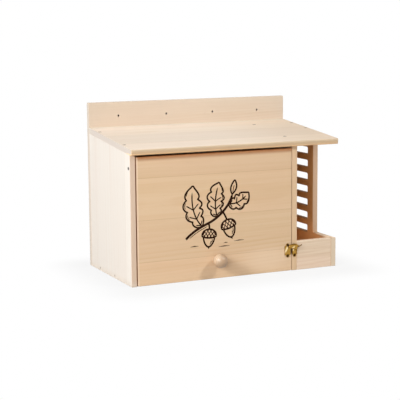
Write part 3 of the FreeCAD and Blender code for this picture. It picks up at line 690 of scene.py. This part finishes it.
def turnProfile(name, profile, seat, outward, steps):
    # Spins (radius, height) points round the outward axis, from a plane merged to one point
    deselectAll()
    seat, outward = Vector(seat), Vector(outward).normalized()
    across = outward.orthogonal().normalized()
    places = [seat + across * radius * mm + outward * height * mm for radius, height in profile]
    bpy.ops.mesh.primitive_plane_add(size=mm, location=places[0])
    piece = bpy.context.object
    piece.name = name
    settle(piece)
    bpy.ops.object.mode_set(mode="EDIT")
    bpy.ops.mesh.select_all(action="SELECT")
    bpy.ops.mesh.merge(type="CENTER")
    for before, after in zip(places, places[1:]):
        bpy.ops.mesh.extrude_region_move(TRANSFORM_OT_translate={"value": after - before})
    bpy.ops.mesh.select_all(action="SELECT")
    bpy.ops.mesh.spin(steps=steps, angle=2 * math.pi, center=seat, axis=outward)
    bpy.ops.mesh.select_all(action="SELECT")
    bpy.ops.mesh.remove_doubles(threshold=weldDistance)
    bpy.ops.mesh.normals_make_consistent(inside=False)
    bpy.ops.object.mode_set(mode="OBJECT")
    piece.data.name = name
    return piece


knobPiece = turnProfile("door_knob_turned", knobProfile(),
                        (knobCentre.x, doorFront, knobCentre.z), (0, -1, 0), knob["steps"])
smoothByAngle(knobPiece, 40)
finishPiece(knobPiece, "door", turnedWoodMaterial(), ["door_knob"])
print("knob")


latch = {"plateBevel": 0.35, "hookBevel": 0.6, "segments": 3, "bevelAngle": 35,
         "tarnishFade": (0.4, 0.7), "tarnishShow": 0.6, "tarnishRoughness": 0.16,
         "speckFade": (0.6, 0.72), "speckShow": 0.3, "paintedSideShadeFade": (0.55, 0.97), "paintedSideShadeShow": 0.7,
         "patchCore": 0.4, "roughness": 0.26,
         "bright": colour(184, 142, 66), "tarnish": colour(128, 90, 34),
         "speck": colour(92, 60, 26), "side": colour(98, 64, 22)}
paintedHighlight, shade, paintedTackShade = colour(250, 224, 172), colour(84, 52, 14), colour(46, 20, 2)
# Patches of painted highlight, painted shade and painted shade round the tacks: middle x and z,
# lean in degrees, half width and length in mm
brassPatches = {
    "hookPlateBrass": (
        (98.6, -233.0, 27, 2.3, 24, 0.95, paintedHighlight), (106.0, -238.5, 0, 1.1, 20, 0.8, shade),
        (99.9, -227.9, 0, 3.4, 7.2, 0.9, paintedTackShade), (99.9, -247.0, 0, 3.4, 7.2, 0.9, paintedTackShade)),
    "hornBrass": (
        (111.0, -226.6, 90, 2.2, 19, 0.7, shade), (110.6, -232.2, 60, 1.6, 8, 0.8, paintedHighlight),
        (115.2, -237.9, 0, 2.2, 5, 0.75, shade), (121.4, -230.8, 65, 1.7, 6, 0.8, shade),
        (126.0, -228.8, 0, 2.2, 6, 0.8, shade)),
    "keeperBrass": (
        (111.4, -236.5, 10, 1.5, 8, 0.75, paintedHighlight), (117.4, -241.0, 0, 1.6, 12, 0.5, shade),
        (109.2, -239.5, 0, 1.0, 18, 0.8, shade), (114.0, -246.8, 0, 3.4, 7.2, 0.9, paintedTackShade)),
    "antiqueBrass": (),
}


def layPatch(tree, tone, patch, x, z):
    middleX, middleZ, lean, half, length, show, patchTone = patch
    cosine, sine = math.cos(math.radians(lean)), math.sin(math.radians(lean))
    x = maths(tree, "SUBTRACT", x, middleX * mm)
    z = maths(tree, "SUBTRACT", z, middleZ * mm)
    beside = maths(tree, "MULTIPLY_ADD", z, -sine, maths(tree, "MULTIPLY", x, cosine))
    along = maths(tree, "MULTIPLY_ADD", z, cosine, maths(tree, "MULTIPLY", x, sine))
    for distance, reach in ((beside, half), (along, length / 2)):
        away = ramp(tree, maths(tree, "ABSOLUTE", distance), reach * latch["patchCore"] * mm,
                    reach * mm)
        show = maths(tree, "MULTIPLY", opposite(tree, away), show)
    return blend(tree, show, tone, patchTone)


def brassMaterial(name):  # worn bright brass, with its sides painted darker as shade and painted highlights and shade in patches on its front
    material, tree, shader = newMaterial(name)
    texture = add(tree, "TexCoord").outputs
    coords = texture["Object"]
    tarnish = ramp(tree, noise(tree, coords, 380.0, 4.0, 0.6), *latch["tarnishFade"])
    speck = ramp(tree, noise(tree, coords, 1500.0, 2.0), *latch["speckFade"])
    front = maths(tree, "ABSOLUTE", splitVector(tree, texture["Normal"])[1])
    # Painted shade: the bevelled sides are darker than the front
    side = opposite(tree, ramp(tree, front, *latch["paintedSideShadeFade"]))
    tone = tint(tree, latch["bright"], tarnish, latch["tarnishShow"], latch["tarnish"])
    tone = tint(tree, tone, speck, latch["speckShow"], latch["speck"])
    tone = tint(tree, tone, side, latch["paintedSideShadeShow"], latch["side"])
    x, z = splitVector(tree, coords, (0, 2))
    for patch in brassPatches[name]:
        tone = layPatch(tree, tone, patch, x, z)
    rough = maths(tree, "MULTIPLY_ADD", tarnish, latch["tarnishRoughness"], latch["roughness"])
    feed(tree, shader, baseColor=tone, roughness=rough)
    setLevels(shader, metallic=1.0)
    addBump(tree, shader, noise(tree, coords, 900.0, 3.0), 0.25, 0.05)
    return material


def bevelledBrass(node, name, width):  # width in mm
    piece = copyOfNode(node, name)
    applyModifier(piece, "BEVEL", width=width * mm, segments=latch["segments"],
                  limit_method="ANGLE", angle_limit=math.radians(latch["bevelAngle"]),
                  use_clamp_overlap=True)
    evenShading(piece, 40)
    return piece


for node, name, bevel, brass in (
        ("latch_hook_plate", "hook_plate_dressed", latch["plateBevel"], "hookPlateBrass"),
        ("latch_keeper_plate", "keeper_plate_dressed", latch["plateBevel"], "keeperBrass"),
        ("latch_hook", "latch_horn_dressed", latch["hookBevel"], "hornBrass")):
    piece = bevelledBrass(node, name, bevel)
    finishPiece(piece, bodyOf[node], brassMaterial(brass), [node])
antiqueBrass = brassMaterial("antiqueBrass")
for node, slot, material in (
        ("latch_rivet", "brass", antiqueBrass), ("keeper_stud", "brass", antiqueBrass),
        ("hook_plate_nails", "dark_steel", tackBronze),
        ("keeper_plate_nails", "dark_steel", tackBronze)):
    piece = copyOfNode(node, node + "_domed")
    smoothByAngle(piece, 35)
    finishPiece(piece, bodyOf[node], material, [node])
print("latch")


# A printed sprig of oak: its middle, how proud the ink stands and its line widths, in mm
sprig = {"centreX": -41.0, "centreZ": -163.0, "proud": 0.035,
         "line": 3.5, "vein": 2.4, "hatch": 1.9, "fine": 1.6, "taper": 9,
         "ink": colour(42, 20, 8), "thinInk": colour(96, 62, 36), "blackInk": colour(34, 16, 8)}
# A leaf's places are shares of its rib, its reaches shares of its half width
leaf = {"stalk": 0.06, "lobePitch": 1.04, "ribSteps": 40, "edgeSteps": 90, "waist": 0.60,
        "roundness": 0.62, "lean": 1.25, "blunt": 0.08, "veinPlace": 0.55, "veinRun": 0.13,
        "lastVein": 0.85, "veinReach": 0.68, "lastShade": 0.9, "shadeReach": 0.82}
acorn = {"nutWidth": 9.2, "nutLength": 15.5, "capWidth": 11.8, "capHeight": 10, "rimDrop": 3.4}


def inkMaterial():  # a little thinner where the grain stands up
    material, tree, shader = newMaterial("darkBrownInk")
    coords = add(tree, "TexCoord").outputs["Object"]
    fibre = noise(tree, stretched(tree, coords, (30, 900, 900)), 1.0, 3.0, 0.6)
    tone = tint(tree, sprig["ink"], ramp(tree, fibre, 0.55, 0.8), 0.15, sprig["thinInk"])
    tone = tint(tree, tone, noise(tree, coords, 90.0, 2.0), 0.25, sprig["blackInk"])
    feed(tree, shader, baseColor=tone, roughness=maths(tree, "MULTIPLY_ADD", fibre, 0.2, 0.5))
    setLevels(shader, specular=0.06)
    return material


class Strokes:
    # Gathers pen strokes, in millimetres about the print's centre, on one curve
    def __init__(self, name):
        self.curve = bpy.data.curves.new(name, "CURVE")
        self.curve.dimensions = "3D"
        self.curve.bevel_depth = 1.0
        self.curve.bevel_resolution = 1
        self.curve.use_fill_caps = True

    def draw(self, points, width, ends=(0.35, 0.35)):
        spline = self.curve.splines.new("POLY")
        last, taper = len(points) - 1, sprig["taper"]
        spline.points.add(last)
        for index, (x, z) in enumerate(points):
            share = index / last
            swell = min(1, ends[0] + share * taper, ends[1] + (1 - share) * taper)
            spline.points[index].co = (x * mm, 0, z * mm, 1)
            spline.points[index].radius = width * mm / 2 * swell


def bezier(start, pull, end, count):  # a quadratic curve's points
    points = []
    for step in range(count + 1):
        t = step / count
        points.append(tuple(a * (1 - t) ** 2 + 2 * b * t * (1 - t) + c * t ** 2
                            for a, b, c in zip(start, pull, end)))
    return points


def alongside(points, t, offset):  # the point at share t, moved sideways by offset
    place = t * (len(points) - 1)
    index = min(int(place), len(points) - 2)
    (ax, az), (bx, bz) = points[index], points[index + 1]
    length = math.hypot(bx - ax, bz - az)
    part = place - index
    return (ax + (bx - ax) * part - (bz - az) / length * offset,
            az + (bz - az) * part + (bx - ax) / length * offset)


def drawLeaf(pen, stem, pull, tip, width, lobes, shadeSide=1):
    rib = bezier(stem, pull, tip, leaf["ribSteps"])
    pitch = lobes * leaf["lobePitch"]

    def halfWidth(t):
        place = min(1, leaf["blunt"] + (1 - leaf["blunt"]) * t) ** leaf["lean"]
        body = math.sin(math.pi * place) ** leaf["roundness"]
        wave = abs(math.sin(math.pi * min(lobes, pitch * t))) ** leaf["roundness"]
        return width / 2 * body * (leaf["waist"] + (1 - leaf["waist"]) * wave)
    for side in (1, -1):
        edge = [rib[0]]
        for step in range(leaf["edgeSteps"] + 1):
            t = leaf["stalk"] + (1 - leaf["stalk"]) * step / leaf["edgeSteps"]
            edge.append(alongside(rib, t, side * halfWidth(t)))
        pen.draw(edge, sprig["line"], (0.8, 0.9))
        for lobe in range(lobes):  # a side vein into each lobe
            t = (lobe + leaf["veinPlace"]) / pitch
            if t < leaf["lastVein"]:
                foot = max(leaf["stalk"], t - leaf["veinRun"])
                reach = side * halfWidth(t) * leaf["veinReach"]
                vein = bezier(alongside(rib, foot, 0), alongside(rib, t - 0.06, reach * 0.45),
                              alongside(rib, t, reach), 8)
                pen.draw(vein, sprig["vein"], (1, 0.2))
    for lobe in range(1, lobes):  # a shading line inside the lobes on one side
        places = [(lobe + 0.30 + 0.1 * step) / pitch for step in range(6)]
        arc = [alongside(rib, t, shadeSide * halfWidth(t) * leaf["shadeReach"])
               for t in places if t < leaf["lastShade"]]
        if len(arc) > 3:
            pen.draw(arc, sprig["fine"], (0.3, 0.3))
    pen.draw(rib[:36], sprig["vein"] * 1.2, (1, 0.15))


def drawAcorn(pen, stem, centre, lean, size):  # the nut hangs lean degrees from straight down
    turnX, turnZ = math.cos(math.radians(lean)), math.sin(math.radians(lean))

    def spot(x, z):
        return (centre[0] + (x * turnX - z * turnZ) * size,
                centre[1] + (x * turnZ + z * turnX) * size)

    def capTop(span):
        return 1.0 + acorn["capHeight"] * span ** 0.9

    def capRim(span):
        return 1.0 - acorn["rimDrop"] * span
    nut = []
    for step in range(41):
        angle = math.pi * (1.02 + 0.96 * step / 40)
        x, z = math.cos(angle), math.sin(angle)
        nut.append(spot(acorn["nutWidth"] * x * (1 - 0.16 * z * z), acorn["nutLength"] * z - 0.5))
    pen.draw(nut, sprig["line"], (0.9, 0.9))
    pen.draw([spot(0, -15.8), spot(0.1, -17.4), spot(0.5, -19.2)], sprig["line"], (1, 0.3))
    for outline, steps in ((capTop, 32), (capRim, 24)):
        angles = [math.pi * step / steps for step in range(steps + 1)]
        pen.draw([spot(acorn["capWidth"] * math.cos(angle), outline(math.sin(angle)))
                  for angle in angles], sprig["line"], (0.9, 0.9))
    for slant in (1, -1):  # the cap's crossed scales
        for step in range(-2, 3):
            line = []
            for part in range(15):
                t = part / 14
                x = step * 5.2 + slant * (t * 9.0 - 4.5)
                if abs(x) < acorn["capWidth"] - 0.6:
                    span = math.sqrt(1 - (x / acorn["capWidth"]) ** 2)
                    line.append(spot(x, capRim(span) + (capTop(span) - capRim(span)) * t))
            if len(line) > 3:
                pen.draw(line, sprig["hatch"], (0.9, 0.9))
    for x, low, high in ((5.4, -9.5, -4.2), (3.2, -12.4, -7.2)):  # shading on the nut
        pen.draw(bezier(spot(x, high), spot(x + 0.7, (high + low) / 2), spot(x - 1.2, low), 8),
                 sprig["fine"], (0.3, 0.3))
    pull = ((stem[0] + spot(0, 20)[0]) / 2, (stem[1] + spot(0, 20)[1]) / 2)
    pen.draw(bezier(stem, pull, spot(0, 11), 10), sprig["line"] * 1.1, (1, 1))


def drawSprig(pen):
    branch = (bezier((-58, -38), (-44, -24), (-18, -14), 16)
              + bezier((-18, -14), (6, -5), (22, 16), 16)[1:]
              + bezier((22, 16), (29, 26), (31, 35), 8)[1:])
    pen.draw(branch, sprig["line"] * 1.45, (0.9, 0.5))
    pen.draw([(x + 1.4, z - 4.2) for x, z in branch[3:17]], sprig["fine"], (0.2, 0.2))
    drawLeaf(pen, (-27, -18), (-52, 8), (-44, 54), 36, 4)
    drawLeaf(pen, (2, -3), (-7, 24), (6, 57), 33, 4, -1)
    drawLeaf(pen, (24, 19), (44, 14), (63, 36), 28, 3, -1)
    for pull in ((23, 45), (45, 46)):  # a closed bud at the branch's end
        pen.draw(bezier((31, 35), pull, (36, 60), 16), sprig["line"], (0.9, 0.6))
    pen.draw(bezier((32, 38), (33, 45), (35, 51), 8), sprig["fine"], (0.6, 0.3))
    drawAcorn(pen, (-15, -13), (-14, -36), -4, 1.15)
    drawAcorn(pen, (13, 4), (24, -22), 16, 1.2)
    for x, z, length in ((-50, -52, 16), (4, -56, 22), (34, -48, 20), (14, -50, 8)):
        ground = [(x, z), (x + length / 2, z + 0.7), (x + length, z + 0.4)]
        pen.draw(ground, sprig["fine"] * 1.3, (0.2, 0.2))


def printSprig():
    pen = Strokes("door_print")
    drawSprig(pen)
    piece = newPiece("door_print", pen.curve)
    makeActive(piece)
    bpy.ops.object.convert(target="MESH")
    bpy.ops.object.mode_set(mode="EDIT")
    bpy.ops.mesh.select_all(action="SELECT")
    bpy.ops.transform.resize(value=(1, sprig["proud"] / sprig["line"] * 2, 1),
                             center_override=(0, 0, 0))
    bpy.ops.transform.translate(value=(sprig["centreX"] * mm, doorFront, sprig["centreZ"] * mm))
    bpy.ops.object.mode_set(mode="OBJECT")
    smoothByAngle(piece, 60)
    dress(piece, inkMaterial())
    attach(piece, "door")


printSprig()
print("print")


studio = {  # lengths in metres; middle and half are those of the object's foot
    "floorColour": (0.52, 0.52, 0.52, 1), "speckColour": (0.45, 0.45, 0.45, 1),
    "speckScale": 40.0, "speckShow": 0.03,
    "floorSize": 30.0, "fade": (0.0, 0.1), "nearWhite": 0.85,
    "middle": (0, -0.12, 0), "half": (0.2, 0.12, 1),
    "worldStrength": 0.1, "lampsAim": (0, -0.1, -0.13),
}


def seenDirectly(tree):  # 1 for the camera, and for what shows in metal or glass
    path = add(tree, "LightPath").outputs
    mirrored = maths(tree, "MAXIMUM", path["Is Glossy Ray"], path["Is Transmission Ray"])
    return maths(tree, "MAXIMUM", path["Is Camera Ray"], mirrored)


def makeFloor():
    deselectAll()
    bpy.ops.mesh.primitive_circle_add(vertices=96, radius=studio["floorSize"] / 2,
                                      fill_type="NGON", location=(0, 0, floorHeight))
    floor = bpy.context.object
    floor.name = "studio_floor"
    settle(floor)
    material, tree, shader = newMaterial("paleFloor")
    coords = add(tree, "TexCoord").outputs["Object"]
    # How far a place lies outside the object's foot, where the floor turns plain white
    offset = vectors(tree, "SUBTRACT", coords, studio["middle"])
    offset = vectors(tree, "SUBTRACT", vectors(tree, "ABSOLUTE", offset), studio["half"])
    away = vectors(tree, "LENGTH", vectors(tree, "MAXIMUM", offset))
    white = maths(tree, "MULTIPLY_ADD", ramp(tree, away, *studio["fade"]),
                  1 - studio["nearWhite"], studio["nearWhite"])
    tone = tint(tree, studio["floorColour"], noise(tree, coords, studio["speckScale"]),
                studio["speckShow"], studio["speckColour"])
    feed(tree, shader, baseColor=tone)
    setLevels(shader, roughness=0.9, specular=0.0)
    glow = add(tree, "Emission", {"Color": (1, 1, 1, 1), "Strength": 1.0})
    seen = maths(tree, "MULTIPLY", seenDirectly(tree), white)
    mixed = add(tree, "MixShader", {0: seen, 1: shader.outputs[0], 2: glow.outputs[0]})
    tree.links.new(mixed.outputs[0], tree.nodes["Material Output"].inputs["Surface"])
    floor.data.materials.append(material)


def makeWorld():
    world = bpy.data.worlds.new("studioWorld")
    world.use_nodes = True
    tree = world.node_tree
    base = tree.nodes["Background"]
    base.inputs["Color"].default_value = (1, 1, 1, 1)
    base.inputs["Strength"].default_value = studio["worldStrength"]
    white = add(tree, "Background", {"Color": (1, 1, 1, 1), "Strength": 1.0})
    mixed = add(tree, "MixShader", {0: seenDirectly(tree), 1: base.outputs[0],
                                    2: white.outputs[0]})
    tree.links.new(mixed.outputs[0], tree.nodes["World Output"].inputs["Surface"])
    scene.world = world


lamps = {  # azimuth from the front, positive to the right, and elevation, in degrees
    "keyLeft": {"azimuth": -68, "elevation": 24, "distance": 2.6, "size": 0.6, "level": 0.58},
    "sideLeft": {"azimuth": -104, "elevation": 10, "distance": 2.6, "size": 0.7, "level": 0.14},
    "fillRight": {"azimuth": 40, "elevation": 42, "distance": 2.6, "size": 0.35, "level": 0.40},
    "frontSoft": {"azimuth": -40, "elevation": 14, "distance": 3.0, "size": 1.4, "level": 0.36},
    "topSoft": {"azimuth": 0, "elevation": 86, "distance": 2.6, "size": 1.5, "level": 0.18},
    "sideRight": {"azimuth": 100, "elevation": 8, "distance": 2.6, "size": 0.8, "level": 0.22},
    "backSoft": {"azimuth": 180, "elevation": 4, "distance": 3.0, "size": 1.2, "level": 0.55},
}


def makeLamps():
    for name, lamp in lamps.items():
        light = bpy.data.lights.new(name, "AREA")
        light.shape = "SQUARE"
        light.size = lamp["size"]
        # At level 1 the lamp alone shows a surface facing it in the colour it is written in
        light.energy = lamp["level"] * (math.pi * lamp["distance"]) ** 2
        piece = newPiece(name, light)
        turn, rise = math.radians(lamp["azimuth"]), math.radians(lamp["elevation"])
        towards = Vector((math.sin(turn) * math.cos(rise), -math.cos(turn) * math.cos(rise),
                          math.sin(rise)))
        piece.location = Vector(studio["lampsAim"]) + towards * lamp["distance"]
        piece.rotation_euler = (-towards).to_track_quat("-Z", "Y").to_euler()
        piece.visible_camera = False


# Angles in degrees, lens and sensor in mm
view = {"place": (-0.8995, -2.0103, 0.1673), "pitchDown": 8.65, "yaw": 24.69, "roll": -0.45,
        "lens": 105.07, "sensor": 36, "clipEnd": 100}


def makeCamera():
    camera = newPiece("camera", bpy.data.cameras.new("camera"))
    camera.location = view["place"]
    camera.rotation_euler = (math.radians(90 - view["pitchDown"]), 0, math.radians(-view["yaw"]))
    camera.rotation_euler.rotate_axis("Z", math.radians(view["roll"]))
    camera.data.lens = view["lens"]
    camera.data.sensor_width = view["sensor"]
    camera.data.clip_end = view["clipEnd"]
    scene.camera = camera


makeFloor()
makeWorld()
makeLamps()
makeCamera()
scene.view_settings.view_transform = "Standard"
print("studio")
